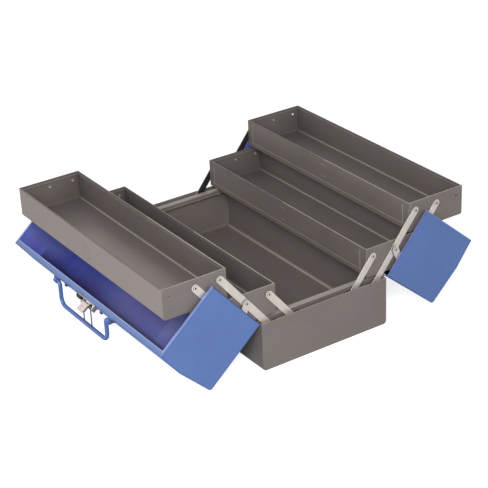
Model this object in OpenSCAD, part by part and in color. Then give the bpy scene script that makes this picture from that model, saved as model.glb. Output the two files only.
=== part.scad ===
// Cantilever tool box: a sheet-metal base, four trays that swing out on pairs of
// parallel arms, and a lid in two halves that hinge on the long sides of the base.
// The box stands open. X runs along the box, Y across it, Z up, and the origin is
// the middle of the base's underside.

/* [Base box] */
// Length of the base box, end face to end face
base_l = 390; // [300:5:520]
// Width of the base box
base_w = 200; // [196:1:230]
// Height of the base box, underside to rim
base_h = 69; // [62:1:90]
// Sheet thickness of the base and of the lid halves
sheet_t = 1; // [0.8:0.1:1.4]
// Outer bend radius between the floor and the long walls
base_bend_r = 5; // [3:0.5:8]
// Height of the folded hem inside the rim of the long walls
base_hem_h = 6; // [4:0.5:9]
// Clear width of the pocket between each end wall and its inner panel
pocket_w = 10; // [9.5:0.25:14]
// Width of the folded rim on top of each inner panel
end_rim_w = 9; // [6:0.5:14]
// Depth of the slotted strip below the rim
strip_drop = 4; // [2:0.25:6]

/* [Trays] */
// Width of a tray
tray_w = 92.2; // [86:0.2:93]
// Height of a tray
tray_h = 41.8; // [34:0.1:42.5]
// Sheet thickness of a tray
tray_t = 0.9; // [0.7:0.1:1.2]
// Outer bend radius along the bottom of a tray
tray_bend_r = 3.2; // [3:0.1:6]
// Height of the folded hem inside a tray's rim
tray_hem_h = 4.5; // [3:0.5:8]
// Half the gap between the left and right trays when the box is shut
centre_play = 1; // [0.8:0.1:1.2]
// Height of the lower trays' underside above the base rim
tray_lift = 5; // [5:0.1:6]
// Depth of the pivot holes below a tray's rim
hole_drop = 11.8; // [9:0.1:16]
// Distance of the pressed frame on a tray's inner wall from the wall's ends
frame_inset = 12; // [8:1:30]
// Height of the frame's lower line above the tray's underside
frame_low = 7.4; // [5:0.2:12]
// Width of the frame's lines
frame_line_w = 1.6; // [1:0.1:3]
// Height of the pressed frame's lines above the wall
frame_raise = 0.35; // [0.2:0.05:0.4]

/* [Arms and pins] */
// Distance between two pivots of an arm
arm_pitch = 57.4; // [57:0.1:58.5]
// Angle of the arms above the horizontal, open and shut
arm_tilt = 51.5; // [51:0.1:52]
// Width of an arm
arm_w = 10; // [8:0.5:10.5]
// Thickness of an arm
arm_t = 1.5; // [1.2:0.1:2]
// Diameter of the pivot pins
pin_d = 3; // [2.5:0.25:4]
// Radial play of an arm on its pin
pin_play = 0.05; // [0.02:0.01:0.1]
// Diameter of the pin heads
head_d = 5.8; // [5:0.1:7]
// Thickness of the pin heads
head_t = 0.8; // [0.6:0.1:1]
// Diameter of the eye in a pin's outer head
eyelet_d = 1.8; // [1:0.1:2]
// Gap between two layers of the arm stack
layer_gap = 0.3; // [0.25:0.05:0.4]
// Thickness of a drive link
link_t = 1.2; // [1:0.1:1.5]
// Length of a drive link, pivot to pivot
link_l = 37.7; // [34:0.1:42]
// Angle of the drive link below the horizontal with the box open
link_tilt = 67.7; // [60:0.1:75]

/* [Lid halves] */
// Distance of the lid hinge axis outside the base's long wall
hinge_out = 2.5; // [2.4:0.1:3]
// Height of the lid hinge axis above the base rim
hinge_up = 1.4; // [1.2:0.1:2]
// Height of a lid half's side panel above the hinge axis, measured when shut
lid_side_h = 103.5; // [102:0.5:104]
// Rise of the lid's top from the side panel to its bend
lid_rise = 5.2; // [5:0.1:10]
// Drop of the lid's top from its bend to the middle edge
lid_dip = 2.8; // [0:0.1:4]
// Width of the strip between the bend and the middle edge
lid_flat_w = 42.2; // [36:0.2:50]
// Half the gap between the two lid halves when shut
lid_play = 1.5; // [1:0.1:2]
// Depth of the lip folded down along the middle of the lid
lid_lip = 7.5; // [5:0.5:9]
// Depth of the flange along the middle edge of the lid's end plates
lid_flange = 2; // [1:0.25:2]
// Outer radius of the lid's upper corner
lid_corner_r = 4; // [2:0.5:6]
// Turn of the lid for each degree that the arms turn
lid_ratio = 1.7; // [1.68:0.01:1.7]
// Free space between a drive link and the lid's end plate
link_room = 2.4; // [2.2:0.1:3]

/* [Lid hinges] */
// Outer radius of the hinge barrels
barrel_r = 1.9; // [1.7:0.05:2]
// Diameter of the hinge pins
hinge_pin_d = 2; // [1.6:0.1:2.2]
// Number of knuckles of one hinge
knuckles = 13; // [7:2:21]
// Gap between neighbouring knuckles
knuckle_gap = 0.4; // [0.3:0.1:1]
// Distance of a hinge's ends from the ends of the base
hinge_inset = 6; // [4:1:20]
// Thickness of the hinge leaves
leaf_t = 0.8; // [0.6:0.1:0.9]
// Height of the hinge leaves
leaf_h = 12; // [8:0.5:16]

/* [Handles] */
// Diameter of the handle wire
wire_d = 5.6; // [4:0.2:6.4]
// Half the distance between the legs of a handle, centre to centre
leg_x = 62; // [50:1:90]
// Depth of a handle from its pivot to the middle of the grip bar
grip_drop = 33; // [30:0.5:45]
// Bend radius at the grip, at the middle of the wire
grip_bend_r = 11; // [6:0.5:16]
// Bend radius at the pivot, at the middle of the wire
pivot_bend_r = 5; // [4:0.5:8]
// Length of the tube of a handle bracket
bracket_l = 6; // [5:0.5:14]
// Width of a handle bracket's riveted plate
bracket_plate_w = 9; // [8:0.2:9.2]
// Wall thickness of a handle bracket
bracket_t = 1.1; // [0.8:0.1:1.6]
// Radial play of the handle wire in its brackets
wire_play = 0.08; // [0.04:0.01:0.1]
// Distance of the handle pivot from the lid's middle edge
handle_in = 4.6; // [4:0.2:8]
// Height of the handle pivot above the lid's top
handle_up = 4.2; // [4.2:0.1:6]
// Diameter of the head of a bracket's rivet
rivet_head_d = 5.6; // [4.5:0.1:6.5]
// Height of the head of a bracket's rivet
rivet_head_h = 2.6; // [1:0.2:3]

/* [Latch] */
// Place of the latch along the box
latch_x = 14; // [0:1:20]
// Width of the latch lever
lever_w = 15; // [11:1:16]
// Length of the latch lever
lever_l = 13; // [12:0.5:20]
// Sheet thickness of the latch pieces
latch_t = 1; // [0.8:0.1:1.2]
// Height of the side flanges of the lever
flange_h = 3.4; // [2.6:0.2:3.6]
// Radius of the lever's rolled eye
eye_r = 2.6; // [2:0.1:2.8]
// Radius of the lever's lower corners
lever_corner_r = 2.5; // [1:0.5:4]
// Distance of the latch pivot from the lid's middle edge
latch_in = 3.2; // [3:0.1:5]
// Height of the latch pivot above the lid's top
latch_up = 5; // [4.6:0.1:5.4]
// Diameter of the latch pin
latch_pin_d = 2; // [1.6:0.1:2.2]
// Diameter of the padlock hole in the lever
padlock_d = 3.5; // [3:0.5:4.5]
// Diameter of the latch loop's wire
loop_wire_d = 1.6; // [1.2:0.1:1.8]
// Reach of the loop beyond its pivot
loop_l = 28.5; // [26:0.5:28.5]
// Thickness of the latch's ears
ear_t = 1.2; // [0.8:0.1:1.6]
// Play along the latch pin between its pieces
latch_play = 0.3; // [0.2:0.05:0.5]
// Length of the latch's base plate
latch_plate_l = 43; // [40:1:50]
// Width of the latch's base plate
latch_plate_w = 12; // [10:0.5:16]
// Height of the tab folded up at the end of the base plate
latch_tab_h = 8; // [4:0.5:9]
// Width of that tab
latch_tab_w = 7; // [4:0.5:10]
// Diameter of the black lock knob
knob_d = 11; // [8:0.5:12]
// Distance of the knob's middle from the lid's middle edge
knob_in = 0.5; // [0:0.25:3]
// Height of the black lock knob
knob_h = 4.5; // [3:0.5:7]
// Length of the keeper's foot
keeper_l = 12; // [10:0.5:14]
// Overhang of the keeper's hook
keeper_hook = 2.4; // [2:0.1:3]

/* [Hidden] */
$fn = 48;
eps = 0.01;                                     // overshoot of a cut past a face

// Layers of the arm stack, measured along X from the middle of the box
end_x = base_l / 2;                             // outer face of base ends and lid ends
lid_in_x = end_x - sheet_t;                     // inner face of a lid end plate
link_x = lid_in_x - link_room - link_t;         // inner face of a drive link
head_x = link_x - layer_gap - head_t;           // inner face of an arm pin's outer head
collar_gap = 0.1;                               // play between an arm and its collar
arm_x = head_x - layer_gap + collar_gap - arm_t; // inner face of an arm
tray_x = arm_x - layer_gap - collar_gap / 2;    // outer face of a tray's end wall
stud_gap = layer_gap + collar_gap;              // play between a drive link and its stud
panel_x = lid_in_x - pocket_w;                  // outer face of a base inner panel

// Travel of one tray stage and of the whole linkage
half_shift = arm_pitch * cos(arm_tilt);         // also the pitch of the tray's holes
rise = arm_pitch * sin(arm_tilt);
shift = 2 * half_shift;
travel = 180 - 2 * arm_tilt;
lid_angle = travel * lid_ratio;

// Heights
low_z = base_h + tray_lift;                     // underside of the lower trays
up_z = low_z + rise;                            // underside of the upper trays
low_pin_z = low_z + tray_h - hole_drop;
up_pin_z = low_pin_z + rise;
base_pin_z = low_pin_z - rise;

// Places across the box, right side, open
low_y = centre_play + shift;                    // inner face of the lower tray
up_y = low_y + shift;                           // inner face of the upper tray
low_mid = low_y + tray_w / 2;
up_mid = up_y + tray_w / 2;
base_pin_1 = low_mid - half_shift;              // foot of the long arm
base_pin_2 = base_pin_1 - half_shift;           // foot of the short arm

// Lid, as it lies when shut
hinge_y = base_w / 2 + hinge_out;
hinge_z = base_h + hinge_up;
rim_gap = 1.2;                                  // between the base rim and the lid's ends
wall_out = 0.4;                                 // side panel's face beyond the hinge axis
lid_out_y = hinge_y + wall_out;                 // outer face of the side panel
lid_top_z = hinge_z + lid_side_h + lid_rise;    // top of the bend
lid_edge_z = lid_top_z - lid_dip;               // top of the middle edge
lid_plate_z = base_h + rim_gap;                 // bottom edge of the lid's end plates
lid_edge = [[lid_play, lid_plate_z], [lid_play, lid_edge_z],
            [lid_play + lid_flat_w, lid_top_z],
            [lid_out_y, hinge_z + lid_side_h], [lid_out_y, lid_plate_z]];
barrel_gap = 0.35;                              // between a barrel and the side panel
panel_foot = hinge_z + barrel_r + barrel_gap;   // bottom edge of the side panel
dip_angle = atan(lid_dip / lid_flat_w);         // tilt of the strip by the middle edge

// Lid hinges
hinge_l = base_l - 2 * hinge_inset;
knuckle_pitch = hinge_l / knuckles;
hinge_bore_d = hinge_pin_d + 2 * pin_play;
leaf_gap = 0.3;                                 // how far a leaf's web reaches over its barrel

// Handle and latch pivots where they stand with the lid open
handle_at = opened(on_strip([handle_in, handle_up]));
latch_at = opened(on_strip([latch_in, latch_up]));
bracket_gap = 0.5;                              // between a handle's bend and its bracket
bracket_x = leg_x + pivot_bend_r + bracket_gap; // inner end of a bracket
bracket_d = wire_d + 2 * (wire_play + bracket_t);
rivet_d = 3;                                    // shank of a bracket's rivet
rivet_cap_d = rivet_head_d - 1.6;               // upper step of its head
rivet_edge = 1;                                 // plate left beyond the head
rivet_off = pivot_bend_r + 2 * bracket_gap + bracket_l + rivet_head_d / 2; // from a leg

// Latch, along its pin from the middle of the lever
latch_bore_d = latch_pin_d + 2 * pin_play;
ear_x = lever_w / 2 + latch_play;               // inner face of an ear
loop_eye_x = ear_x + ear_t + latch_play;        // inner face of a loop's eye
latch_half = loop_eye_x + loop_wire_d + latch_play;
latch_rivet_d = 4;
latch_rivet_y = latch_plate_w - latch_rivet_d + 1;
padlock_edge = 4.5;                             // lever left beyond the padlock hole
knob_cap_d = 0.7 * knob_d;                      // upper step of the knob
knob_rim_h = 0.7 * knob_h;                      // height of its wide step
knob_x = latch_half + head_t + layer_gap + knob_d / 2; // knob's middle from the lever's
latch_plate_x = -knob_x - knob_d / 2;           // the plate starts under the knob's rim
hook_side = 2;                                  // lever left beside the keeper's hook

// Drive link: its pivot on the lower tray and its stud on the lid
link_foot = [low_mid + link_l * cos(link_tilt), low_pin_z - link_l * sin(link_tilt)];

// A point of the shut right lid half, where it stands with the lid open
function opened(p) = [
  hinge_y + (p[0] - hinge_y) * cos(lid_angle) + (p[1] - hinge_z) * sin(lid_angle),
  hinge_z - (p[0] - hinge_y) * sin(lid_angle) + (p[1] - hinge_z) * cos(lid_angle)
];
// A point of the strip by the middle edge, from that edge and above it, on the shut lid
function on_strip(p) = [
  lid_play + p[0] * cos(dip_angle) - p[1] * sin(dip_angle),
  lid_edge_z + p[0] * sin(dip_angle) + p[1] * cos(dip_angle)
];
function unit(v) = v / norm(v);
// Distance from a corner to where an arc of radius r leaves its sides
function set_back(a, b, c, r) = r / tan(acos(unit(a - b) * unit(c - b)) / 2);

// Left is -Y, right is +Y, near is +X, far is -X
module at_side(side) mirror([0, side < 0 ? 1 : 0, 0]) children();
module at_end(end) mirror([end < 0 ? 1 : 0, 0, 0]) children();
module at_corner(side, end) at_side(side) at_end(end) children();

// A plate cut from an outline in Y and Z, from x on, t thick along X
module plate_yz(x, t) translate([x, 0, 0]) rotate([90, 0, 90]) linear_extrude(t) children();
// A rod along X
module rod_x(x, l, d, y, z) translate([x, y, z]) rotate([0, 90, 0]) cylinder(h = l, d = d);

// What an arc of radius r takes off the corner b between a and c
module corner_scrap(a, b, c, r) {
  back = set_back(a, b, c, r);
  centre = b + unit(unit(a - b) + unit(c - b)) * norm([back, r]);
  difference() {
    polygon([b + unit(a - b) * back, b + unit(b - centre) * r, b + unit(c - b) * back, centre]);
    translate(centre) circle(r);
  }
}

// The section of a trough: w wide, h high, open at the top, bottom corners rounded
module trough_outline(w, h, r) {
  left = [-w / 2, 0];
  right = [w / 2, 0];
  difference() {
    translate(left) square([w, h]);
    corner_scrap([-w / 2, h], left, right, r);
    corner_scrap([w / 2, h], right, left, r);
  }
}

// A folded tub, centred on X and Y, underside at z = 0
module tub(l, w, h, t, r) {
  difference() {
    plate_yz(-l / 2, l) trough_outline(w, h, r);
    plate_yz(-l / 2 + t, l - 2 * t)
      translate([0, t]) trough_outline(w - 2 * t, h, r - t);
  }
}

// ---- base ----

module base_tub() {
  color("dimgray") {
    tub(base_l, base_w, base_h, sheet_t, base_bend_r);
    hem_l = 2 * (panel_x - end_rim_w);
    for (side = [-1, 1])
      at_side(side)
        translate([-hem_l / 2, base_w / 2 - 2 * sheet_t, base_h - base_hem_h])
          cube([hem_l, sheet_t, base_hem_h]);
  }
}

// Inner panel of a base end: it carries the arms' pins and folds into the rim
module end_panel(end) {
  clear_w = base_w - 2 * sheet_t;
  foot_w = clear_w - 2 * (base_bend_r - sheet_t);
  color("gray") at_end(end) difference() {
    union() {
      translate([panel_x - sheet_t, -foot_w / 2, sheet_t])
        cube([sheet_t, foot_w, base_bend_r]);
      translate([panel_x - sheet_t, -clear_w / 2, base_bend_r])
        cube([sheet_t, clear_w, base_h - base_bend_r]);
      translate([panel_x - end_rim_w, -clear_w / 2, base_h - sheet_t])
        cube([end_rim_w, clear_w, sheet_t]);
      translate([panel_x - end_rim_w, -clear_w / 2, base_h - base_hem_h])
        cube([sheet_t, clear_w, base_hem_h]);
    }
    for (y = [base_pin_1, base_pin_2], side = [-1, 1])
      rod_x(panel_x - 2 * sheet_t, 3 * sheet_t, pin_d, side * y, base_pin_z);
  }
}

// Strip across the arm pocket, with a slot for each arm
module slot_strip(end) {
  strip_z = base_h - strip_drop - sheet_t;
  reach = (strip_z + sheet_t - base_pin_z) / tan(arm_tilt);
  slot_half = reach + arm_w / 2 / sin(arm_tilt) + 1;
  slot_edge = 1.2;                              // sheet left beside a slot
  color("dimgray") at_end(end) difference() {
    translate([panel_x, -base_w / 2 + sheet_t, strip_z])
      cube([pocket_w, base_w - 2 * sheet_t, sheet_t]);
    for (y = [base_pin_1, base_pin_2], side = [-1, 1])
      translate([panel_x + slot_edge, side * y - slot_half, strip_z - eps])
        cube([pocket_w - 2 * slot_edge, 2 * slot_half, sheet_t + 2 * eps]);
  }
}

// A tubular pin through a wall whose outer face is at x: a head inside the wall,
// a collar up to the first moving layer, the shank and a head with an eye outside
module wall_pin(x, wall, collar_to, head_from, y, z) {
  small_d = pin_d + 1.6;                        // inner head and collar
  eye_l = 2 * head_t;
  difference() {
    union() {
      rod_x(x - wall - head_t, head_t, small_d, y, z);
      rod_x(x - wall, head_from - x + wall + head_t / 2, pin_d, y, z);
      rod_x(x, collar_to - x, small_d, y, z);
      rod_x(head_from, head_t, head_d, y, z);
    }
    rod_x(head_from + head_t - eye_l, eye_l + eps, eyelet_d, y, z);
  }
}

module base_pivot_pins() {
  color("silver")
    for (side = [-1, 1], end = [-1, 1], y = [base_pin_1, base_pin_2])
      at_corner(side, end)
        wall_pin(panel_x, sheet_t, arm_x - collar_gap, head_x, y, base_pin_z);
}

// ---- trays ----

// A tray, centred on Y, underside at z = 0, with its three pivot holes in each end
module tray() {
  hem_x = 2 * tray_x - 2 * tray_t;
  hem_y = tray_w - 2 * tray_t;
  difference() {
    union() {
      tub(2 * tray_x, tray_w, tray_h, tray_t, tray_bend_r);
      difference() {
        translate([-hem_x / 2, -hem_y / 2, tray_h - tray_hem_h])
          cube([hem_x, hem_y, tray_hem_h]);
        translate([-hem_x / 2 + tray_t, -hem_y / 2 + tray_t, tray_h - tray_hem_h - eps])
          cube([hem_x - 2 * tray_t, hem_y - 2 * tray_t, tray_hem_h + 2 * eps]);
      }
    }
    for (y = [-half_shift, 0, half_shift])
      rod_x(-tray_x - eps, 2 * tray_x + 2 * eps, pin_d, y, tray_h - hole_drop);
  }
}

// The frame pressed into a tray's long inner wall: two uprights and a line below,
// each rooted in the middle of the sheet
module tray_frame() {
  frame_h = tray_h - tray_hem_h - frame_low;
  half = tray_x - frame_inset;
  depth = frame_raise + tray_t / 2;
  translate([0, -tray_w / 2 - frame_raise, frame_low]) {
    for (x = [-half, half - frame_line_w])
      translate([x, 0, 0]) cube([frame_line_w, depth, frame_h]);
    translate([-half, 0, 0]) cube([2 * half, depth, frame_line_w]);
  }
}

module placed_tray(side, y, z) {
  color("dimgray") at_side(side) translate([0, y, z]) {
    tray();
    tray_frame();
  }
}
module lower_tray(side) placed_tray(side, low_mid, low_z);
module upper_tray(side) placed_tray(side, up_mid, up_z);

module lower_tray_pins(side) {
  color("silver") for (end = [-1, 1]) at_corner(side, end) {
    for (y = [low_mid - half_shift, low_mid + half_shift])
      wall_pin(tray_x, tray_t, arm_x - collar_gap, head_x, y, low_pin_z);
    wall_pin(tray_x, tray_t, arm_x - collar_gap, link_x + link_t + layer_gap,
             low_mid, low_pin_z);
  }
}

module upper_tray_pins(side) {
  color("silver") for (end = [-1, 1], y = [up_mid - half_shift, up_mid])
    at_corner(side, end)
      wall_pin(tray_x, tray_t, arm_x - collar_gap, head_x, y, up_pin_z);
}

// ---- arms ----

// Outline of a flat bar from pivot to pivot, with an eye at each of the holes
module bar_outline(l, w, holes) {
  difference() {
    union() {
      translate([0, -w / 2]) square([l, w]);
      for (x = [0, l]) translate([x, 0]) circle(d = w);
    }
    for (x = holes) translate([x, 0]) circle(d = pin_d + 2 * pin_play);
  }
}

// An arm from a foot pivot, leaning outward
module arm(side, end, y, z, l, holes) {
  color("gainsboro") at_corner(side, end)
    plate_yz(arm_x, arm_t)
      translate([y, z]) rotate(arm_tilt) bar_outline(l, arm_w, holes);
}
module long_arm(side, end)
  arm(side, end, base_pin_1, base_pin_z, 2 * arm_pitch, [0, arm_pitch, 2 * arm_pitch]);
module short_arm(side, end)
  arm(side, end, base_pin_2, base_pin_z, arm_pitch, [0, arm_pitch]);
module outer_arm(side, end)
  arm(side, end, low_mid + half_shift, low_pin_z, arm_pitch, [0, arm_pitch]);

// The link that draws the lid along with the arms
module drive_link(side, end) {
  color("gainsboro") at_corner(side, end)
    plate_yz(link_x, link_t)
      translate([low_mid, low_pin_z]) rotate(-link_tilt)
        bar_outline(link_l, arm_w, [0, link_l]);
}

// ---- lid halves ----

// Sets a shut right lid half's pieces to where they stand when open
module open_lid(side) {
  at_side(side)
    translate([0, hinge_y, hinge_z]) rotate([-lid_angle, 0, 0])
      translate([0, -hinge_y, -hinge_z]) children();
}

// Outline of the shut right lid half, shrunk by in on all sides but the bottom
module lid_outline(in) {
  play = lid_edge[1] + [in, -in];
  bend = lid_edge[2] + [0, -in];
  corner = lid_edge[3] + [-in, -in];
  foot = [corner[0], lid_plate_z];
  difference() {
    polygon([[play[0], lid_plate_z], play, bend, corner, foot]);
    corner_scrap(bend, corner, foot, lid_corner_r - in);
  }
}

// Side panel, top and middle lip, folded from one sheet between the end plates
module lid_shell(side) {
  color("royalblue") open_lid(side) difference() {
    plate_yz(-lid_in_x, 2 * lid_in_x) lid_outline(0);
    plate_yz(-end_x, 2 * end_x) lid_outline(sheet_t);
    // open below the lip, and the side panel stops above the hinge
    translate([-end_x, lid_play - 1, lid_plate_z - 1])
      cube([2 * end_x, sheet_t + 2, lid_edge_z - lid_lip - lid_plate_z + 1]);
    translate([-end_x, lid_out_y - sheet_t - 1, lid_plate_z - 1])
      cube([2 * end_x, sheet_t + 2, panel_foot - lid_plate_z + 1]);
  }
}

// End plate, with a flange folded inward along its middle edge below the lip
module lid_end(side, end) {
  color("royalblue") open_lid(side) at_end(end) {
    plate_yz(lid_in_x, sheet_t) lid_outline(0);
    translate([lid_in_x - lid_flange, lid_play, lid_plate_z])
      cube([lid_flange, sheet_t, lid_edge_z - lid_lip - lid_plate_z]);
  }
}

// Studs on the end plates for the drive links; each stops just short of its link
module lid_studs(side) {
  tip = link_x + link_t + stud_gap;
  color("silver") for (end = [-1, 1]) at_corner(side, end)
    rod_x(tip, lid_in_x - tip, pin_d, link_foot[0], link_foot[1]);
}

// ---- lid hinges ----

// Every second knuckle from the first one on, each joined to the leaf beside it by
// a web from the barrel's middle to web_to, all in the hinge's own frame
module knuckle_row(first, web_y, web_z) {
  for (i = [first:2:knuckles - 1])
    translate([-hinge_l / 2 + i * knuckle_pitch + knuckle_gap / 2, 0, 0]) {
      knuckle_l = knuckle_pitch - knuckle_gap;
      difference() {
        union() {
          rod_x(0, knuckle_l, 2 * barrel_r, 0, 0);
          translate([0, web_y[0], web_z[0]])
            cube([knuckle_l, web_y[1] - web_y[0], web_z[1] - web_z[0]]);
        }
        rod_x(-eps, knuckle_l + 2 * eps, hinge_bore_d, 0, 0);
      }
    }
}

module hinge_base_leaf(side) {
  leaf_top = -barrel_r + leaf_gap;
  color("slategray") at_side(side) translate([0, hinge_y, hinge_z]) {
    knuckle_row(0, [-hinge_out, -hinge_bore_d / 2 - eps], [leaf_top, 0]);
    translate([-hinge_l / 2, -hinge_out, -leaf_h])
      cube([hinge_l, leaf_t, leaf_h + leaf_top]);
  }
}

module hinge_lid_leaf(side) {
  inner_y = lid_out_y - sheet_t - hinge_y;      // inner face of the side panel
  leaf_foot = panel_foot - hinge_z;
  color("slategray") open_lid(side) translate([0, hinge_y, hinge_z]) {
    knuckle_row(1, [inner_y - leaf_t, inner_y], [0, leaf_foot]);
    translate([-hinge_l / 2, inner_y - leaf_t, leaf_foot])
      cube([hinge_l, leaf_t, leaf_h - leaf_foot]);
  }
}

module hinge_pin(side)
  color("silver") at_side(side) rod_x(-hinge_l / 2, hinge_l, hinge_pin_d, hinge_y, hinge_z);

// ---- handles ----

// A quarter turn of wire that leaves the origin along -X and ends going down
module wire_bend(r)
  translate([0, 0, -r]) rotate([90, 0, 0]) rotate(90)
    rotate_extrude(angle = 90) translate([r, 0]) circle(d = wire_d);

// Half of a handle for x > 0, hanging from its pivot at the origin
module half_handle() {
  stub_x = leg_x + pivot_bend_r;
  bar_x = leg_x - grip_bend_r;
  rod_x(stub_x, bracket_gap + bracket_l, wire_d, 0, 0);
  translate([stub_x, 0, 0]) wire_bend(pivot_bend_r);
  translate([leg_x, 0, -grip_drop + grip_bend_r])
    cylinder(h = grip_drop - grip_bend_r - pivot_bend_r, d = wire_d);
  translate([bar_x, 0, -grip_drop]) mirror([1, 0, 0]) mirror([0, 0, 1])
    wire_bend(grip_bend_r);
  rod_x(0, bar_x, wire_d, 0, -grip_drop);
}

module handle(side) {
  color("royalblue") at_side(side) translate([0, handle_at[0], handle_at[1]])
    for (end = [-1, 1]) at_end(end) half_handle();
}

// Places pieces on the strip by the open lid's middle edge: Y from the edge, Z above it
module on_lid(side)
  open_lid(side) translate([0, lid_play, lid_edge_z]) rotate([dip_angle, 0, 0]) children();

// A bracket is a plate riveted to the lid beside the leg, with a tube round the wire
module handle_brackets(side) {
  plate_l = 2 * rivet_off + rivet_head_d + 2 * rivet_edge;
  color("royalblue") on_lid(side) for (end = [-1, 1]) at_end(end) difference() {
    union() {
      rod_x(bracket_x, bracket_l, bracket_d, handle_in, handle_up);
      translate([bracket_x, handle_in - bracket_d / 2, 0])
        cube([bracket_l, bracket_d, handle_up - bracket_d / 2 + bracket_t]);
      translate([leg_x - plate_l / 2, handle_in - bracket_plate_w / 2, 0])
        cube([plate_l, bracket_plate_w, bracket_t]);
    }
    rod_x(bracket_x - eps, bracket_l + 2 * eps, wire_d + 2 * wire_play, handle_in, handle_up);
    translate([0, 0, -eps]) two_rivets(bracket_t + 2 * eps, rivet_d);
  }
}

// A rod through a bracket's plate on either side of the leg
module two_rivets(h, d)
  for (x = [-rivet_off, rivet_off])
    translate([leg_x + x, handle_in, 0]) cylinder(h = h, d = d);

// Black rivets: a shank in the plate and a stepped head on it
module bracket_rivets(side) {
  color("dimgray") on_lid(side) for (end = [-1, 1]) at_end(end) {
    two_rivets(bracket_t, rivet_d);
    translate([0, 0, bracket_t]) {
      two_rivets(rivet_head_h / 2, rivet_head_d);
      two_rivets(rivet_head_h, rivet_cap_d);
    }
  }
}

// ---- latch, on the left lid half, and its keeper on the right one ----

module latch_plate() {
  color("silver") on_lid(-1) translate([latch_x, 0, 0]) difference() {
    union() {
      translate([latch_plate_x, 0, 0]) cube([latch_plate_l, latch_plate_w, latch_t]);
      translate([latch_plate_x + latch_plate_l - latch_t, 0, latch_t])
        cube([latch_t, latch_tab_w, latch_tab_h - latch_t]);
      for (end = [-1, 1]) at_end(end) {
        translate([ear_x, latch_in - eye_r, 0]) cube([ear_t, 2 * eye_r, latch_up]);
        rod_x(ear_x, ear_t, 2 * eye_r, latch_in, latch_up);
      }
    }
    rod_x(-lever_w, 2 * lever_w, latch_pin_d, latch_in, latch_up);
  }
}

module latch_rivets() {
  color("silver") on_lid(-1)
    for (x = [latch_rivet_d, latch_plate_l - latch_rivet_d])
      translate([latch_x + latch_plate_x + x, latch_rivet_y, latch_t])
        cylinder(h = head_t, d = latch_rivet_d);
}

// The pin of the lever and the loop, with a small head at each end
module latch_pin() {
  color("silver") on_lid(-1) {
    rod_x(latch_x - latch_half, 2 * latch_half, latch_pin_d, latch_in, latch_up);
    for (end = [-1, 1]) translate([latch_x, 0, 0]) at_end(end)
      rod_x(latch_half, head_t, 1.6 * latch_pin_d, latch_in, latch_up);
  }
}

// The lever stands off the lid from its eye: a plate with rounded corners, two side
// flanges and a padlock hole
module latch_lever() {
  hole_z = lever_l - padlock_edge - padlock_d / 2;
  color("gainsboro") on_lid(-1) translate([latch_x, latch_in, latch_up]) difference() {
    union() {
      rod_x(-lever_w / 2, lever_w, 2 * eye_r, 0, 0);
      translate([0, latch_t - eye_r, 0]) rotate([90, 0, 0]) linear_extrude(latch_t)
        difference() {
          translate([-lever_w / 2, 0]) square([lever_w, lever_l]);
          for (end = [-1, 1])
            corner_scrap([end * lever_w / 2, 0], [end * lever_w / 2, lever_l],
                         [0, lever_l], lever_corner_r);
        }
      for (end = [-1, 1]) at_end(end)
        translate([lever_w / 2 - latch_t, latch_t - eye_r, eye_r])
          cube([latch_t, flange_h - latch_t, lever_l - eye_r - lever_corner_r]);
    }
    rod_x(-lever_w, 2 * lever_w, latch_bore_d, 0, 0);
    translate([0, eye_r, hole_z]) rotate([90, 0, 0]) cylinder(h = 2 * eye_r, d = padlock_d);
  }
}

// A wire loop round the lever, with a rolled eye at each end of the wire
module latch_loop() {
  leg_at = loop_eye_x + loop_wire_d / 2;
  eye_d = latch_bore_d + 2 * loop_wire_d;
  color("silver") at_side(-1) translate([latch_x, latch_at[0], latch_at[1]]) difference() {
    union() {
      for (end = [-1, 1]) at_end(end) {
        rod_x(loop_eye_x, loop_wire_d, eye_d, 0, 0);
        translate([leg_at, 0, -loop_l]) cylinder(h = loop_l, d = loop_wire_d);
        translate([leg_at, 0, -loop_l]) sphere(d = loop_wire_d);
      }
      rod_x(-leg_at, 2 * leg_at, loop_wire_d, 0, -loop_l);
    }
    rod_x(-2 * leg_at, 4 * leg_at, latch_bore_d, 0, 0);
  }
}

module lock_knob() {
  color("black") on_lid(-1) translate([latch_x - knob_x, knob_in, latch_t]) {
    cylinder(h = knob_rim_h, d = knob_d);
    cylinder(h = knob_h, d = knob_cap_d);
  }
}

// A hook plate that the loop drops over when the box is shut
module latch_keeper() {
  bar_in = loop_l - latch_in - 2 * lid_play;    // where the loop's bar comes down
  post_in = bar_in - loop_wire_d / 2 - layer_gap - keeper_hook;
  hook_w = lever_w - 2 * hook_side;
  hook_h = latch_up + loop_wire_d / 2 + 2 * layer_gap + latch_t;
  color("silver") on_lid(1) translate([latch_x - hook_w / 2, post_in, 0]) {
    cube([hook_w, keeper_l, latch_t]);
    translate([0, 0, latch_t]) cube([hook_w, latch_t, hook_h - latch_t]);
    translate([0, latch_t, hook_h - latch_t]) cube([hook_w, keeper_hook - latch_t, latch_t]);
  }
}

base_tub();
end_panel(1);  // end_panel_near
end_panel(-1);  // end_panel_far
slot_strip(1);  // slot_strip_near
slot_strip(-1);  // slot_strip_far
base_pivot_pins();
lower_tray(-1);  // lower_tray_left
lower_tray(1);  // lower_tray_right
upper_tray(-1);  // upper_tray_left
upper_tray(1);  // upper_tray_right
lower_tray_pins(-1);  // lower_tray_pins_left
lower_tray_pins(1);  // lower_tray_pins_right
upper_tray_pins(-1);  // upper_tray_pins_left
upper_tray_pins(1);  // upper_tray_pins_right
long_arm(-1, 1);  // long_arm_left_near
long_arm(-1, -1);  // long_arm_left_far
long_arm(1, 1);  // long_arm_right_near
long_arm(1, -1);  // long_arm_right_far
short_arm(-1, 1);  // short_arm_left_near
short_arm(-1, -1);  // short_arm_left_far
short_arm(1, 1);  // short_arm_right_near
short_arm(1, -1);  // short_arm_right_far
outer_arm(-1, 1);  // outer_arm_left_near
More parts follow.
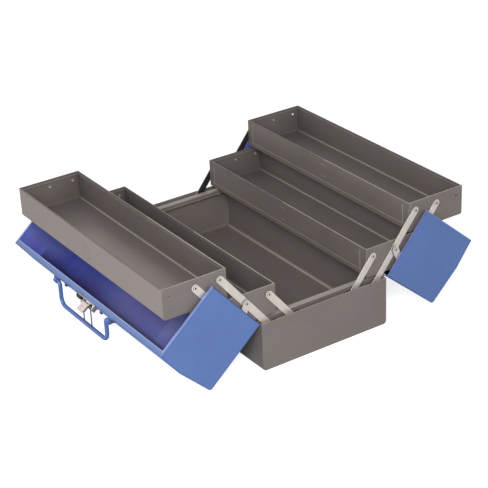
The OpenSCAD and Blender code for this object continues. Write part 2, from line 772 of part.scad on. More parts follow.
outer_arm(-1, -1);  // outer_arm_left_far
outer_arm(1, 1);  // outer_arm_right_near
outer_arm(1, -1);  // outer_arm_right_far
drive_link(-1, 1);  // drive_link_left_near
drive_link(-1, -1);  // drive_link_left_far
drive_link(1, 1);  // drive_link_right_near
drive_link(1, -1);  // drive_link_right_far
lid_shell(-1);  // lid_shell_left
lid_shell(1);  // lid_shell_right
lid_end(-1, 1);  // lid_end_left_near
lid_end(-1, -1);  // lid_end_left_far
lid_end(1, 1);  // lid_end_right_near
lid_end(1, -1);  // lid_end_right_far
lid_studs(-1);  // lid_studs_left
lid_studs(1);  // lid_studs_right
hinge_base_leaf(-1);  // hinge_base_leaf_left
hinge_base_leaf(1);  // hinge_base_leaf_right
hinge_lid_leaf(-1);  // hinge_lid_leaf_left
hinge_lid_leaf(1);  // hinge_lid_leaf_right
hinge_pin(-1);  // hinge_pin_left
hinge_pin(1);  // hinge_pin_right
handle(-1);  // handle_left
handle(1);  // handle_right
handle_brackets(-1);  // handle_brackets_left
handle_brackets(1);  // handle_brackets_right
bracket_rivets(-1);  // bracket_rivets_left
bracket_rivets(1);  // bracket_rivets_right
latch_plate();
latch_rivets();
latch_pin();
latch_lever();
latch_loop();
lock_knob();
latch_keeper();
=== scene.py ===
"""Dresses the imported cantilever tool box: enamel and plated steel finishes, studio and camera."""
import math
from types import SimpleNamespace
import bpy
from mathutils import Matrix, Vector


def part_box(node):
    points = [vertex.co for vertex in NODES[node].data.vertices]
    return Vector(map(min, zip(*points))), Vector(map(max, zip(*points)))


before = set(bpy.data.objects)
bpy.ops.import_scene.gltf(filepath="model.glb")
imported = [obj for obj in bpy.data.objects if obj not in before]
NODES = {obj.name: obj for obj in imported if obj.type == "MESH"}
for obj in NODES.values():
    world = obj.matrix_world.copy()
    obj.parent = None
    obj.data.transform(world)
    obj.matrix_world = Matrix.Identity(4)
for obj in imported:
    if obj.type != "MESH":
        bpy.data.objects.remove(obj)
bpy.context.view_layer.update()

MM = 0.001
LID_TURN = math.radians(130.9)     # how far each lid half has swung open
ARM_TILT = math.radians(51.5)      # lean of the arms above the horizontal
ARM_PITCH = 57.4 * MM              # between two pivots of an arm

# Sizes of the CAD that the paint follows, in metres.
BASE_W, BASE_HEM, BASE_BEND = 200 * MM, 6 * MM, 5 * MM
TRAY_W, TRAY_HEM, TRAY_BEND = 92.2 * MM, 4.5 * MM, 3.2 * MM
FRAME_LOW, FRAME_LINE = 7.4 * MM, 1.6 * MM
LID_PLAY, LID_FOOT, LID_SIDE_Y = 1.5 * MM, 70.2 * MM, 102.9 * MM
LID_EDGE_Z, LID_BEND, LID_CORNER_Z = 176.3 * MM, (43.7 * MM, 179.1 * MM), 173.9 * MM
LID_LIP = 7.5 * MM


def tub_place(node, width):
    """The middle across, the foot, the height and half the length of a tub in the frame."""
    low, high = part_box(node)
    return high[1] - width / 2, low[2], high[2] - low[2], high[0]


def centre(node):
    """The middle of a node's box, as X, Y and Z."""
    low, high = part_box(node)
    return tuple((a + b) / 2 for a, b in zip(low, high))


BASE = tub_place("base_tub", BASE_W)
LOW_TRAY = tub_place("lower_tray_right", TRAY_W)
HIGH_TRAY = tub_place("upper_tray_right", TRAY_W)
HINGE = centre("hinge_pin_right")
PIN_AT = centre("lower_tray_pins_right")[1:]    # one pivot pin, across and up
# Across and up from that pin to the next ones
PIN_STEP = (ARM_PITCH * math.cos(ARM_TILT), ARM_PITCH * math.sin(ARM_TILT))

# Sizes of what is painted, in metres.
SOFT_LINE = 0.15 * MM                       # half the blur at a painted line's edge
SOFT_SEAM = 0.3 * MM                        # the same along the lid's folds
SKIN = 0.5 * MM                             # left out beside a tub's outer faces and rim
HEM_SHADE, HEM_LINE = 1.6 * MM, 1.1 * MM    # the painted shadow under a hem and the painted highlight on its edge
CORNER_W = 2.6 * MM                         # shade up the inner corners of a tub
POCKET_GAP, POCKET_TOP = 11.5 * MM, 5 * MM  # reach of the painted shade inside the base's ends
FRAME_SHADE = 1.4 * MM                      # shadow below the pressed frame
FRAME_END = 11 * MM                         # how far it stops short of the tray's ends
LIT_FROM, LIT_FULL = 25 * MM, -5 * MM       # inwards from the middle of the upper left tray
LIT_FAR, LIT_NEAR = -115 * MM, -70 * MM     # where along it the same light starts and is full
RING_R, RING_LINE = 9 * MM, 1.3 * MM        # plain round mark pressed into each tray wall
RING_UP = (17 * MM, 24 * MM)                # its height on the outer and the inner wall
PIN_EYE, PIN_HEAD = 1.35 * MM, 2.75 * MM    # radii of the painted shade in the eye and of the rubbed face
LIP_WITHIN, SIDE_BEYOND = 20 * MM, 50 * MM  # across the shut lid, where lip and side lie
LIP_HIDES = 170 * MM                        # height up to which the lip leaves the side seen
FAR_SHADE_H, FAR_SHADE_X = 20 * MM, 100 * MM          # the painted shade at its far end, upwards and along it
SEAM_W = 1.1 * MM                           # dark seam round a lid end plate
LIP_SEAM_W, LIP_EDGE_W = 1.3 * MM, 1.6 * MM # painted shade at the lip's seam and painted highlight on its edge
FOLD_AT = (3.4 * MM, 4.6 * MM)              # painted shade where the lip is folded, seen on the end plates
LIP_LINE_AT = (3.2 * MM, 4.2 * MM)          # painted shade of the pressed line along the lip
BEVEL_W = 0.2 * MM                          # rounding of every sharp edge

# Colours as they look in plain light, as sRGB.
GREY_ENAMEL = "7f7673"
# painted highlight on rims, hem edges, bends, frame tops and ring ends
HIGHLIGHT_GREY = "c4bbb4"
# edge wear, lighter also as painted highlight
WORN_LIT_GREY = "b9aea6"
# darker as painted shade in the recessed slot strip
SHADED_STRIP_GREY = "6e6663"
# painted shade inside the base's end pockets
POCKET_SHADE_BLACK = "1e1816"
BLUE_ENAMEL = "5d7bba"
# the lid blue, darkened as painted shade on the handle
SHADED_HANDLE_BLUE = "4f6aa4"
# the inside's blue: part its own tint, part painted bounce light
INNER_BOUNCE_BLUE = "6873e0"
INNER_VIOLET = "6a4fc0"
# painted highlights on the lids' edges and painted reflections inside
HIGHLIGHT_BLUE = "b4bef0"
# edge wear of the lids, lighter also as painted highlight
WORN_LIT_BLUE = "9fb3da"
# the handle's edge wear, lighter also as painted highlight and darkened as painted shade
WORN_LIT_SHADED_HANDLE = "8093bd"
# dark seams round the end plates, and painted shade at the lip's seam and along the foot edge
SEAM_AND_SHADE_BLUE = "2b3a6c"
# painted shade inside the lid, by the lip and at the far end
VIOLET_SHADE = "3c3573"
ZINC = "efe7dd"
# painted shade on the arms' inner faces and cut edges; also the dark rims of the pin heads
DARKENED_ZINC = "3c3a40"
# painted shade in a pin's eye
EYE_SHADE_BLACK = "1c1a19"
NICKEL = "b5a8a1"
HINGE_STEEL = "8c8fa0"
BLACK_WIRE = "4a4644"
BLACK_RIVET = "26262a"
KNOB_BLACK = "0c0c0e"

# The camera of the photograph, fitted to the base's corners.
PHOTO_SIZE = 488                   # pixels along each side of the photograph
FOCAL_PX = 1535.3
CAMERA_AT = Vector((1.5897, -1.0250, 1.0304))
YAW, PITCH, ROLL = (math.radians(a) for a in (147.045, -26.839, -2.659))
SENSOR = 36.0


def linear(code):
    """A colour written as sRGB hex, as the linear RGBA that sockets take."""
    channels = (int(code[i:i + 2], 16) / 255 for i in (0, 2, 4))
    return (*(c / 12.92 if c <= 0.04045 else ((c + 0.055) / 1.055) ** 2.4 for c in channels), 1)


def scaled(colour, k):
    """A colour made darker or lighter, its alpha kept."""
    return (*(min(1, c * k) for c in colour[:3]), 1)


class Nodes:
    """A small helper that adds and links the nodes of one material."""

    def __init__(self, name):
        self.material = bpy.data.materials.new(name)
        self.material.use_nodes = True
        self.tree = self.material.node_tree
        self.bsdf = self.tree.nodes["Principled BSDF"]

    def add(self, kind, **values):
        node = self.tree.nodes.new(kind)
        for key, value in values.items():
            if hasattr(node, key):
                setattr(node, key, value)
            else:
                node.inputs[key.replace("_", " ")].default_value = value
        return node

    def link(self, source, target):
        self.tree.links.new(source, target)

    def place(self, stretch=(1, 1, 1), turn=0.0):
        """Object coordinates, turned about X and stretched."""
        where = self.add("ShaderNodeTexCoord").outputs["Object"]
        turned = self.add("ShaderNodeMapping")
        turned.inputs["Rotation"].default_value = (turn, 0, 0)
        self.link(where, turned.inputs["Vector"])
        spread = self.add("ShaderNodeMapping")
        spread.inputs["Scale"].default_value = stretch
        self.link(turned.outputs["Vector"], spread.inputs["Vector"])
        return spread.outputs["Vector"]

    def noise(self, where, scale, detail=3.0, roughness=0.55):
        node = self.add("ShaderNodeTexNoise", Scale=scale, Detail=detail, Roughness=roughness)
        self.link(where, node.inputs["Vector"])
        return node.outputs["Fac"]

    def ramp(self, value, low, high, to_low=0.0, to_high=1.0):
        node = self.add("ShaderNodeMapRange")
        node.inputs["From Min"].default_value = low
        node.inputs["From Max"].default_value = high
        node.inputs["To Min"].default_value = to_low
        node.inputs["To Max"].default_value = to_high
        self.link(value, node.inputs["Value"])
        return node.outputs["Result"]

    def mix(self, factor, a, b):
        """A colour between a and b; each is a colour or a socket."""
        node = self.add("ShaderNodeMix", data_type="RGBA")
        self.link(factor, node.inputs["Factor"])
        for name, value in (("A", a), ("B", b)):
            socket = next(s for s in node.inputs if s.name == name and s.type == "RGBA")
            if isinstance(value, tuple):
                socket.default_value = value
            else:
                self.link(value, socket)
        return next(s for s in node.outputs if s.type == "RGBA")

    def math(self, operation, a, b):
        node = self.add("ShaderNodeMath", operation=operation)
        for socket, value in zip(node.inputs, (a, b)):
            if isinstance(value, (int, float)):
                socket.default_value = value
            else:
                self.link(value, socket)
        return node.outputs["Value"]

    def parts(self, vector):
        """The X, Y and Z of a vector socket."""
        node = self.add("ShaderNodeSeparateXYZ")
        self.link(vector, node.inputs[0])
        return tuple(node.outputs)

    def here(self):
        """The point's and the surface normal's X, Y and Z, fixed to the piece."""
        node = self.add("ShaderNodeTexCoord")
        return self.parts(node.outputs["Object"]), self.parts(node.outputs["Normal"])

    def shut_here(self, side):
        """The same, where the point and the normal lie with the lid half shut, as Y > 0."""
        node = self.add("ShaderNodeTexCoord")
        found = []
        for name, away in (("Object", HINGE), ("Normal", (0, 0, 0))):
            flip = self.add("ShaderNodeVectorMath", operation="MULTIPLY")
            flip.inputs[1].default_value = (1, side, 1)
            self.link(node.outputs[name], flip.inputs[0])
            turn = self.add("ShaderNodeVectorRotate", rotation_type="X_AXIS")
            turn.inputs["Center"].default_value = away
            turn.inputs["Angle"].default_value = LID_TURN
            self.link(flip.outputs[0], turn.inputs["Vector"])
            found.append(self.parts(turn.outputs[0]))
        return found

    def size(self, value):
        return self.math("ABSOLUTE", value, 0)

    def above(self, value, level, soft=SOFT_LINE):
        return self.ramp(value, level - soft, level + soft)

    def below(self, value, level, soft=SOFT_LINE):
        return self.ramp(value, level - soft, level + soft, 1, 0)

    def both(self, first, *others):
        for other in others:
            first = self.math("MULTIPLY", first, other)
        return first

    def either(self, first, *others):
        for other in others:
            first = self.math("MAXIMUM", first, other)
        return first

    def edges(self, radius):
        """Near 1 where the surface turns sharply within radius, 0 on flat sheet."""
        soft = self.add("ShaderNodeBevel", samples=4, Radius=radius)
        flat = self.add("ShaderNodeNewGeometry").outputs["Normal"]
        dot = self.add("ShaderNodeVectorMath", operation="DOT_PRODUCT")
        self.link(soft.outputs["Normal"], dot.inputs[0])
        self.link(flat, dot.inputs[1])
        turn = self.math("SUBTRACT", 1.0, dot.outputs["Value"])
        return self.ramp(turn, 0.02, 0.25)

    def own_sky(self, distance):
        """1 where the surface is open, less in the corners of its own piece."""
        node = self.add("ShaderNodeAmbientOcclusion", samples=8, only_local=True,
                        Distance=distance)
        return node.outputs["AO"]

    def bump(self, height, distance, strength=1.0, under=None):
        """Bump on the material, over another one if under is its normal."""
        node = self.add("ShaderNodeBump", Strength=strength, Distance=distance)
        self.link(height, node.inputs["Height"])
        if under:
            self.link(under, node.inputs["Normal"])
        self.link(node.outputs["Normal"], self.bsdf.inputs["Normal"])
        return node.outputs["Normal"]


def enamel(name, code, roughness=0.42, coat=0.0, worn_lit=WORN_LIT_GREY, details=None, relief=None,
           corner_shade=0.0):
    """Sprayed enamel on sheet steel: soft mottling, orange peel, dust and edge wear, lighter also
    as painted highlight.

    details takes the nodes and gives layers below and above the edge wear: each is a
    mask, the colour that it shows and a strength. relief takes the nodes and gives the
    height of what is pressed into the sheet. corner_shade is how much painted shade
    darkens the piece's own corners.
    """
    m = Nodes(name)
    colour = linear(code)
    where = m.place()
    mottle = m.ramp(m.noise(where, 14, 4), 0.3, 0.7)
    shade = m.ramp(m.noise(where, 5, 2), 0.3, 0.7, 0.0, 0.5)
    body = m.mix(mottle, scaled(colour, 0.93), scaled(colour, 1.06))
    marks = m.noise(where, 420, 3, 0.7)
    below, above = details(m) if details else ((), ())

    def laid(body, layers):
        for mask, paint, strength in layers:
            varied = m.ramp(marks, 0.3, 0.7, strength * 0.75, strength)
            layer = linear(paint) if isinstance(paint, str) else scaled(colour, paint)
            body = m.mix(m.both(mask, varied), body, layer)
        return body

    body = laid(body, below)
    dust = m.ramp(m.noise(where, 260, 2), 0.62, 0.8, 0, 0.3)
    body = m.mix(dust, body, scaled(colour, 1.25))
    scuff = m.noise(where, 120, 5, 0.7)
    # Edge wear, lighter also as a painted highlight where the sheet turns.
    edge = m.math("MULTIPLY", m.edges(0.5 * MM), m.ramp(scuff, 0.35, 0.65, 0.25, 0.8))
    body = laid(m.mix(edge, body, linear(worn_lit)), above)
    # Painted shade in the piece's own corners, from its own occlusion.
    if corner_shade:
        open_side = m.ramp(m.own_sky(50 * MM), 0, 1, 1 - corner_shade, 1)
        body = m.mix(open_side, (0, 0, 0, 1), body)
    m.link(body, m.bsdf.inputs["Base Color"])
    gloss = m.ramp(scuff, 0.25, 0.75, roughness - 0.06, roughness + 0.08)
    m.link(m.math("ADD", gloss, m.math("MULTIPLY", shade, 0.08)), m.bsdf.inputs["Roughness"])
    m.bsdf.inputs["Coat Weight"].default_value = coat
    m.bsdf.inputs["Coat Roughness"].default_value = 0.2
    peel = m.bump(m.noise(where, 700, 3), 0.02 * MM, 0.5)
    if relief:
        m.bump(relief(m), 0.5 * MM, 1.0, peel)
    return m.material


def ring_mark(m, mid, foot):
    """A plain ring in the middle of a tray's long walls, and the height above its middle."""
    (x, y, z), (_, ny, _) = m.here()
    beyond = m.math("SUBTRACT", m.size(y), mid)
    outward = m.above(m.both(y, ny, beyond), 0, 1e-6)
    wall = m.both(outward, m.ramp(m.size(ny), 0.5, 0.8))
    outer_up, inner_up = RING_UP
    middle = m.ramp(beyond, -MM, MM, foot + inner_up, foot + outer_up)
    rise = m.math("SUBTRACT", z, middle)
    squares = (m.math("MULTIPLY", v, v) for v in (x, rise))
    away = m.math("POWER", m.math("ADD", *squares), 0.5)
    off_line = m.size(m.math("SUBTRACT", away, RING_R))
    return m.both(wall, m.ramp(off_line, 0, RING_LINE, 1, 0)), rise


def tub_details(place, width, hem, bend, layers):
    """The lines of a folded tub: painted highlights on the rim, hem edge and bends, painted shade
    under the hem and in the corners.

    layers takes the nodes and the spot on the tub. It gives the layers that are the tub's
    own: those below these lines, those above them and those above the edge wear.
    """
    mid, foot, height, half_l = place

    def details(m):
        (x, y, z), (nx, ny, nz) = m.here()
        up = m.math("SUBTRACT", z, foot)
        across = m.size(m.math("SUBTRACT", m.size(y), mid))
        along = m.size(x)
        within = m.both(m.below(across, width / 2 - SKIN), m.below(along, half_l - SKIN))
        upright = m.ramp(nz, 0.5, 0.2)
        hem_z = height - hem
        # Painted highlight on the rim, hem edge and bends; painted shadow under the hem and painted
        # shade up the inner corners.
        rim = m.both(m.above(up, height - SKIN), m.ramp(nz, 0.3, 0.7))
        under_hem = m.both(within, upright, m.above(up, hem_z - HEM_SHADE),
                           m.below(up, hem_z + 0.05 * MM))
        hem_highlight = m.both(within, upright, m.above(up, hem_z), m.below(up, hem_z + HEM_LINE))
        lean = m.math("MULTIPLY", m.size(ny), nz)
        inner_bend_highlight = m.both(within, m.ramp(lean, 0.25, 0.45), m.below(up, bend + 2 * MM))
        foot_bend_highlight = m.both(within, upright, m.above(up, bend - 0.6 * MM), m.below(up, bend + MM))
        corner = m.both(within, m.below(up, hem_z), m.above(across, width / 2 - CORNER_W),
                        m.above(along, half_l - CORNER_W))
        lines = [(under_hem, 0.62, 0.8), (hem_highlight, HIGHLIGHT_GREY, 0.5), (rim, HIGHLIGHT_GREY, 0.75),
                 (foot_bend_highlight, HIGHLIGHT_GREY, 0.2), (inner_bend_highlight, HIGHLIGHT_GREY, 0.5),
                 (corner, 0.6, 0.6)]
        spot = SimpleNamespace(x=x, y=y, nx=nx, nz=nz, up=up, across=across, along=along,
                               within=within)
        first, last, above = layers(m, spot)
        return first + lines + last, above
    return details


def base_layers(m, spot):
    """Painted shade inside the base's end pockets."""
    _, _, height, half_l = BASE
    pocket_shade = m.both(m.ramp(m.size(spot.nx), 0.5, 0.8), m.below(spot.up, height - POCKET_TOP),
                    m.above(spot.along, half_l - POCKET_GAP),
                    m.below(spot.along, half_l - SKIN))
    return [], [], [(pocket_shade, POCKET_SHADE_BLACK, 1.0)]


def tray_layers(place):
    """A tray's outer wall and part of its floor with painted light, its far floor with painted
    shade, its round marks and frame with painted shade and highlights, and its outer and far rims
    with painted shade.
    """
    mid, foot, height, half_l = place
    high_mid = HIGH_TRAY[0]

    def layers(m, spot):
        outer_half = m.above(m.size(spot.y), mid)
        inner_half = m.below(m.size(spot.y), mid)
        on_wall = m.above(spot.across, TRAY_W / 2 - 0.2 * MM)
        # Painted light: the outer wall's outer face is lighter.
        outer_face = m.both(on_wall, outer_half)
        floor = m.both(spot.within, m.ramp(spot.nz, 0.8, 0.95),
                       m.below(spot.up, TRAY_BEND + 2 * MM))
        # Painted light on part of the upper left tray's floor; painted shade on the upper right
        # tray's floor beyond its middle.
        lit_floor = m.both(floor, m.ramp(spot.y, LIT_FROM - high_mid, LIT_FULL - high_mid),
                           m.ramp(spot.x, LIT_FAR, LIT_NEAR))
        shaded_far_floor = m.both(floor, m.above(spot.y, high_mid))
        ring, rise = ring_mark(m, mid, foot)
        # Painted shade in the pressed rings and painted highlights at the inner ring's top and
        # bottom.
        outer_ring = m.both(ring, outer_face)
        inner_ring = m.both(ring, inner_half)
        ring_highlights = m.both(inner_ring, m.ramp(m.size(rise), 0.5 * RING_R, 0.9 * RING_R))
        # Painted highlight along the frame's top and painted shadow below it.
        raised = m.above(spot.across, TRAY_W / 2 + 0.2 * MM, 0.05 * MM)
        frame_highlight = m.both(raised, m.above(spot.up, FRAME_LOW + 0.45 * FRAME_LINE))
        below_frame = m.both(on_wall, inner_half, m.above(spot.up, FRAME_LOW - FRAME_SHADE),
                             m.below(spot.up, FRAME_LOW),
                             m.below(spot.along, half_l - FRAME_END))
        # Painted shade on the rims of the outer walls and of the far half.
        shaded_rim = m.both(m.above(spot.up, height - 1.2 * MM),
                            m.either(outer_half, m.below(spot.x, 0)),
                            m.below(spot.x, half_l - 2 * MM))
        last = [(lit_floor, 1.75, 1.0), (shaded_far_floor, 0.88, 1.0), (outer_ring, 0.9, 0.9),
                (ring_highlights, HIGHLIGHT_GREY, 0.5), (inner_ring, 0.8, 0.5),
                (frame_highlight, HIGHLIGHT_GREY, 0.6), (below_frame, 0.6, 0.6)]
        return [(outer_face, 1.25, 1.0)], last, [(shaded_rim, 0.6, 0.85)]
    return layers


def lid_details(side):
    """The lines of a lid half: inside colour with painted bounce light, painted shade and painted
    reflections, painted highlights on the lip's and free edges, dark seams, and painted shade on
    the lip and along its fold, seam and foot.
    """
    def details(m):
        (x, y, z), (nx, ny, nz) = m.shut_here(side)
        end_face = m.ramp(m.size(nx), 0.4, 0.6)
        outwards = m.math("MULTIPLY", x, nx)
        inner_end = m.both(end_face, m.below(outwards, 0, 1e-6))
        outer_end = m.both(end_face, m.above(outwards, 0, 1e-6))
        to_middle = m.ramp(ny, -0.3, -0.5)
        near_middle = m.below(y, LIP_WITHIN)
        near_side = m.above(y, SIDE_BEYOND)
        inner = m.either(m.ramp(nz, -0.3, -0.5), inner_end, m.both(to_middle, near_side),
                         m.both(m.ramp(ny, 0.3, 0.5), near_middle))
        lip = m.both(to_middle, near_middle)

        bend_y, bend_z = LID_BEND
        rise = m.ramp(y, LID_PLAY, bend_y, LID_EDGE_Z, bend_z)
        fall = m.ramp(y, bend_y, LID_SIDE_Y, 0, bend_z - LID_CORNER_Z)
        depth = m.math("SUBTRACT", m.math("SUBTRACT", rise, fall), z)

        seam = m.both(outer_end, m.either(m.below(depth, SEAM_W, SOFT_SEAM),
                                          m.above(y, LID_SIDE_Y - SEAM_W, SOFT_SEAM)))
        # Painted highlight on the free edge and on the foot's face; painted shade along the foot
        # edge and where the lip is folded.
        free_edge_highlight = m.both(outer_end, m.below(y, LID_PLAY + MM, SOFT_SEAM))
        foot_edge_shade = m.both(outer_end, m.below(z, LID_FOOT + 1.3 * MM, SOFT_SEAM))
        foot_face_highlight = m.both(m.ramp(nz, -0.5, -0.7), m.below(z, LID_FOOT + 0.3 * MM))
        fold_shade = m.both(outer_end, m.above(y, LID_PLAY + FOLD_AT[0], SOFT_SEAM),
                      m.below(y, LID_PLAY + FOLD_AT[1], SOFT_SEAM))
        # Painted highlight on the lip's edge; painted shade at its seam and along its pressed line.
        lip_edge_highlight = m.both(lip, m.above(depth, LID_LIP - LIP_EDGE_W, SOFT_SEAM))
        lip_seam_shade = m.both(lip, m.below(depth, LIP_SEAM_W, SOFT_SEAM))
        lip_line_shade = m.both(lip, m.above(depth, LIP_LINE_AT[0]), m.below(depth, LIP_LINE_AT[1]))
        patch = m.both(inner, m.ramp(m.noise(m.place((9, 30, 30)), 1.0, 2), 0.45, 0.62))
        # Painted reflection streaks on the inside.
        reflection_streak = m.both(inner, m.ramp(m.noise(m.place((22, 6, 6)), 1.0, 1), 0.58, 0.68))
        side_inside = m.both(inner, near_side)
        # Painted shade inside by the lip and towards the far end.
        shade_by_lip = m.both(side_inside, m.ramp(z, LIP_HIDES - 5 * MM, LIP_HIDES - MM))
        far_shade = m.both(side_inside, m.ramp(z, LIP_HIDES - FAR_SHADE_H, LIP_HIDES),
                          m.ramp(x, FAR_SHADE_X, -FAR_SHADE_X))
        # The lip is darkened as painted shade.
        below = [(inner, INNER_BOUNCE_BLUE, 1.0), (patch, INNER_VIOLET, 0.7),
                 (reflection_streak, HIGHLIGHT_BLUE, 0.3), (shade_by_lip, VIOLET_SHADE, 1.0),
                 (far_shade, VIOLET_SHADE, 0.8), (lip, 0.8, 1.0), (seam, SEAM_AND_SHADE_BLUE, 0.7),
                 (fold_shade, 0.8, 0.5), (free_edge_highlight, HIGHLIGHT_BLUE, 0.35),
                 (lip_edge_highlight, HIGHLIGHT_BLUE, 0.4), (lip_seam_shade, SEAM_AND_SHADE_BLUE, 0.75),
                 (lip_line_shade, 0.8, 0.5)]
        return below, [(foot_face_highlight, HIGHLIGHT_BLUE, 0.6), (foot_edge_shade, SEAM_AND_SHADE_BLUE, 0.85)]
    return details


def plated(name, code, roughness=0.34, turn=0.0, metallic=0.9, details=None):
    """Plated steel with a grain along the piece, small stains and rubbed edges.

    details takes the nodes and gives layers as enamel's does, all above the rubbed edges.
    """
    m = Nodes(name)
    colour = linear(code)
    m.bsdf.inputs["Metallic"].default_value = metallic
    grain = m.noise(m.place((300, 40, 900), turn), 1.0, 4, 0.6)
    stain = m.noise(m.place(), 90, 4)
    body = m.mix(m.ramp(grain, 0.3, 0.7), scaled(colour, 0.9), scaled(colour, 1.05))
    body = m.mix(m.ramp(stain, 0.55, 0.75, 0, 0.35), body, scaled(colour, 0.72))
    body = m.mix(m.edges(0.3 * MM), body, scaled(colour, 1.15))
    for mask, paint, strength in details(m) if details else ():
        body = m.mix(m.both(mask, strength), body, linear(paint))
    m.link(body, m.bsdf.inputs["Base Color"])
    m.link(m.ramp(grain, 0.3, 0.7, roughness - 0.08, roughness + 0.1),
           m.bsdf.inputs["Roughness"])
    m.bump(grain, 0.02 * MM, 0.6)
    return m.material


def arm_details(m):
    """Painted shade on an arm's inner face and on its cut edges."""
    (x, _, _), (nx, _, _) = m.here()
    # Painted shade on the inner face and on the cut edges.
    inside = m.ramp(m.both(x, nx), 0.0, -0.05)
    cut = m.ramp(m.size(nx), 0.6, 0.3)
    return [(inside, DARKENED_ZINC, 1.0), (cut, DARKENED_ZINC, 0.6)]


def pin_details(m):
    """Painted shade in the eye of a pin's outer head, and the dark rims of both its heads."""
    (x, y, z), (nx, _, _) = m.here()
    off = [m.math("PINGPONG", m.math("SUBTRACT", at, pin), step / 2)
           for at, pin, step in zip((m.size(y), z), PIN_AT, PIN_STEP)]
    away = m.math("POWER", m.math("ADD", *(m.math("MULTIPLY", v, v) for v in off)), 0.5)
    outwards = m.both(x, nx)
    outside = m.ramp(outwards, -0.08, -0.04)
    inside = m.ramp(outwards, -0.04, -0.08)
    # Painted shade in the eye.
    eye = m.both(outside, m.below(away, PIN_EYE, 0.2 * MM))
    head_rim = m.both(outside, m.above(away, PIN_HEAD, 0.1 * MM))
    inner_rim = m.both(inside, m.above(away, PIN_EYE, 0.2 * MM))
    return [(eye, EYE_SHADE_BLACK, 0.95), (head_rim, DARKENED_ZINC, 0.7), (inner_rim, DARKENED_ZINC, 0.75)]


def gloss_black(name, code, roughness=0.3, lift=1.8):
    """Black moulded plastic or lacquer with faint scratches."""
    m = Nodes(name)
    colour = linear(code)
    where = m.place()
    body = m.mix(m.ramp(m.noise(where, 200, 4), 0.4, 0.7), colour, scaled(colour, lift))
    m.link(body, m.bsdf.inputs["Base Color"])
    m.link(m.ramp(m.noise(where, 500, 3), 0.3, 0.7, roughness - 0.08, roughness + 0.08),
           m.bsdf.inputs["Roughness"])
    m.bump(m.noise(where, 900, 2), 0.01 * MM, 0.4)
    return m.material


def tray_enamel(start, place):
    """The grey enamel of the trays of one level, with their round marks pressed in."""
    mid, foot, _, _ = place
    return enamel(f"{start}_enamel", GREY_ENAMEL, corner_shade=0.62,
                  details=tub_details(place, TRAY_W, TRAY_HEM, TRAY_BEND, tray_layers(place)),
                  relief=lambda m: ring_mark(m, mid, foot)[0])


base_grey = enamel("base_enamel", GREY_ENAMEL, corner_shade=0.3,
                   details=tub_details(BASE, BASE_W, BASE_HEM, BASE_BEND, base_layers))
# The slot strip's enamel, darker as painted shade in its recess.
shaded_strip_grey = enamel("shaded_strip_enamel", SHADED_STRIP_GREY)
tray_grey = {start: tray_enamel(start, place)
             for start, place in (("lower_tray", LOW_TRAY), ("upper_tray", HIGH_TRAY))}
lid_blue = {side: enamel(f"lid_enamel_{side}", BLUE_ENAMEL, roughness=0.34, coat=0.15,
                         worn_lit=WORN_LIT_BLUE, details=lid_details(sign))
            for side, sign in (("left", -1), ("right", 1))}
# The handle: the lid blue darkened as painted shade.
shaded_handle_blue = enamel("shaded_handle_enamel", SHADED_HANDLE_BLUE, roughness=0.34, coat=0.15,
                     worn_lit=WORN_LIT_SHADED_HANDLE)
arm_zinc = {side: plated(f"zinc_arm_{side}", ZINC, 0.42, turn, 0.55, arm_details)
            for side, turn in (("left", ARM_TILT), ("right", -ARM_TILT))}
zinc = plated("zinc", ZINC)
pin_zinc = plated("pin_zinc", ZINC, 0.42, metallic=0.5, details=pin_details)
nickel = plated("nickel", NICKEL, roughness=0.28)
hinge_steel = plated("hinge_steel", HINGE_STEEL)
black_wire = plated("black_wire", BLACK_WIRE, roughness=0.4, metallic=0.7)
black_rivet = gloss_black("black_rivet", BLACK_RIVET)
knob_black = gloss_black("knob_black", KNOB_BLACK, 0.6, 1.2)

# What each CAD node is finished with: the first start that its name has.
FINISHES = (
    ("base_pivot_pins", pin_zinc), ("lower_tray_pins", pin_zinc), ("upper_tray_pins", pin_zinc),
    ("lid_studs", zinc), ("hinge_pin", zinc), ("bracket_rivets", black_rivet),
    ("base_tub", base_grey), ("end_panel", base_grey), ("slot_strip", shaded_strip_grey),
    ("lower_tray", tray_grey["lower_tray"]), ("upper_tray", tray_grey["upper_tray"]),
    ("handle", shaded_handle_blue), ("hinge", hinge_steel), ("lock_knob", knob_black),
    ("latch_loop", black_wire), ("latch", nickel),
)
ARMS = ("long_arm", "short_arm", "outer_arm", "drive_link")


def finish_of(node):
    """The material of a CAD node, by its name."""
    side = "left" if "_left" in node else "right"
    if node.startswith(ARMS):
        return arm_zinc[side]
    if node.startswith(("lid_shell", "lid_end")):
        return lid_blue[side]
    return next(material for start, material in FINISHES if node.startswith(start))


def soften(piece):
    """Rounds a CAD node's sharp edges a little, so that they catch the light."""
    weld = piece.modifiers.new("weld", "WELD")
    weld.merge_threshold = 0.01 * MM
    flat = piece.modifiers.new("flat_faces", "DECIMATE")
    flat.decimate_type = "DISSOLVE"
    flat.angle_limit = math.radians(0.5)
    bevel = piece.modifiers.new("bevel", "BEVEL")
    bevel.width = BEVEL_W
    bevel.segments = 2
    bevel.limit_method = "ANGLE"
    bevel.angle_limit = math.radians(35)
    bevel.use_clamp_overlap = True
    bevel.face_strength_mode = "FSTR_AFFECTED"
    even = piece.modifiers.new("even_normals", "WEIGHTED_NORMAL")
    even.keep_sharp = False
    even.use_face_influence = True


for name, piece in NODES.items():
    piece.data.materials.clear()
    piece.data.materials.append(finish_of(name))
    soften(piece)


# ---- studio ----

def seen_straight(tree):
    """A socket that is 1 for camera, mirror and glass rays."""
    path = tree.nodes.new("ShaderNodeLightPath")
    seen = path.outputs["Is Camera Ray"]
    for ray in ("Is Glossy Ray", "Is Transmission Ray"):
        either = tree.nodes.new("ShaderNodeMath")
        either.operation = "MAXIMUM"
        tree.links.new(seen, either.inputs[0])
        tree.links.new(path.outputs[ray], either.inputs[1])
        seen = either.outputs[0]
    return seen


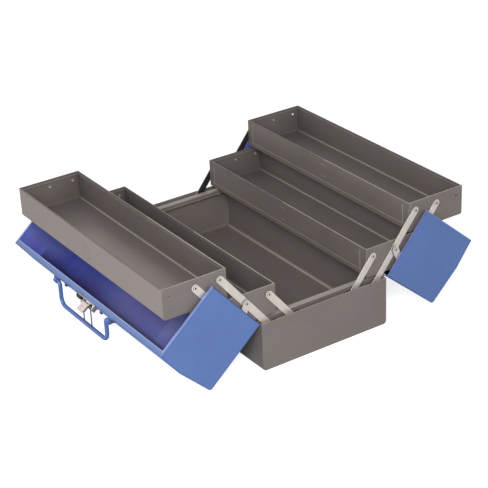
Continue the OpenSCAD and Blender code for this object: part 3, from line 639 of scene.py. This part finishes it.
def make_world(level):
    """Even light of that level, which shows as plain white where it is seen straight."""
    world = bpy.data.worlds.new("studio")
    world.use_nodes = True
    tree = world.node_tree
    ambient = tree.nodes["Background"]
    white = tree.nodes.new("ShaderNodeBackground")
    for shader, strength in ((ambient, level), (white, 1)):
        shader.inputs["Color"].default_value = (1, 1, 1, 1)
        shader.inputs["Strength"].default_value = strength
    chosen = tree.nodes.new("ShaderNodeMixShader")
    tree.links.new(seen_straight(tree), chosen.inputs["Fac"])
    tree.links.new(ambient.outputs[0], chosen.inputs[1])
    tree.links.new(white.outputs[0], chosen.inputs[2])
    tree.links.new(chosen.outputs[0], tree.nodes["World Output"].inputs["Surface"])
    bpy.context.scene.world = world


def make_floor(size, glow):
    """A pale floor that shows white but for the object's shadow."""
    bpy.ops.mesh.primitive_plane_add(size=size, location=(0, 0, 0))
    floor = bpy.context.object
    floor.name = "floor"
    material = bpy.data.materials.new("pale_floor")
    material.use_nodes = True
    tree = material.node_tree
    bsdf = tree.nodes["Principled BSDF"]
    bsdf.inputs["Base Color"].default_value = (0.8, 0.8, 0.8, 1)
    bsdf.inputs["Roughness"].default_value = 1
    bsdf.inputs["Specular IOR Level"].default_value = 0
    seen = tree.nodes.new("ShaderNodeLightPath").outputs["Is Camera Ray"]
    lift = tree.nodes.new("ShaderNodeMath")
    lift.operation = "MULTIPLY"
    lift.inputs[1].default_value = glow
    tree.links.new(seen, lift.inputs[0])
    bsdf.inputs["Emission Color"].default_value = (1, 1, 1, 1)
    tree.links.new(lift.outputs[0], bsdf.inputs["Emission Strength"])
    floor.data.materials.append(material)


def area_light(name, at, towards, size, power):
    """A round lamp, size metres across, turned to the point towards."""
    data = bpy.data.lights.new(name, "AREA")
    data.shape = "DISK"
    data.size = size
    data.energy = power
    lamp = bpy.data.objects.new(name, data)
    lamp.location = at
    lamp.rotation_euler = (Vector(towards) - Vector(at)).to_track_quat("-Z", "Y").to_euler()
    bpy.context.scene.collection.objects.link(lamp)


def make_camera():
    """The camera that took the photograph."""
    data = bpy.data.cameras.new("photo_camera")
    data.sensor_width = SENSOR
    data.lens = FOCAL_PX / PHOTO_SIZE * SENSOR
    data.clip_start = 0.05
    camera = bpy.data.objects.new("photo_camera", data)
    ahead = Vector((math.cos(PITCH) * math.cos(YAW), math.cos(PITCH) * math.sin(YAW),
                    math.sin(PITCH)))
    level = ahead.cross(Vector((0, 0, 1))).normalized()
    upward = level.cross(ahead)
    right = math.cos(ROLL) * level + math.sin(ROLL) * upward
    up = -math.sin(ROLL) * level + math.cos(ROLL) * upward
    turn = Matrix((right, up, -ahead)).transposed().to_4x4()
    camera.matrix_world = Matrix.Translation(CAMERA_AT) @ turn
    bpy.context.scene.collection.objects.link(camera)
    bpy.context.scene.camera = camera


# Each lamp's place, the point that it faces, its width in metres and its power in watts.
LAMPS = {
    "key": ((1.6, -1.2, 1.5), (0, 0, 0.08), 1.2, 40),
    "end": ((2.2, 0.3, 0.7), (0, 0, 0.08), 1.2, 6),
    "side": ((-0.2, -2.2, 1.0), (0, 0, 0.08), 1.5, 3),
    "low": ((0, -2.0, 0.16), (0, 0, 0.1), 0.3, 10),
    "far": ((-1.6, -1.4, 1.2), (0, 0, 0.08), 1.2, 4),
}
WORLD_LEVEL = 0.12
FLOOR_SIZE, FLOOR_GLOW = 8, 0.8

make_camera()
make_world(WORLD_LEVEL)
make_floor(FLOOR_SIZE, FLOOR_GLOW)
for lamp_name, setting in LAMPS.items():
    area_light(lamp_name, *setting)
bpy.context.scene.view_settings.view_transform = "Standard"
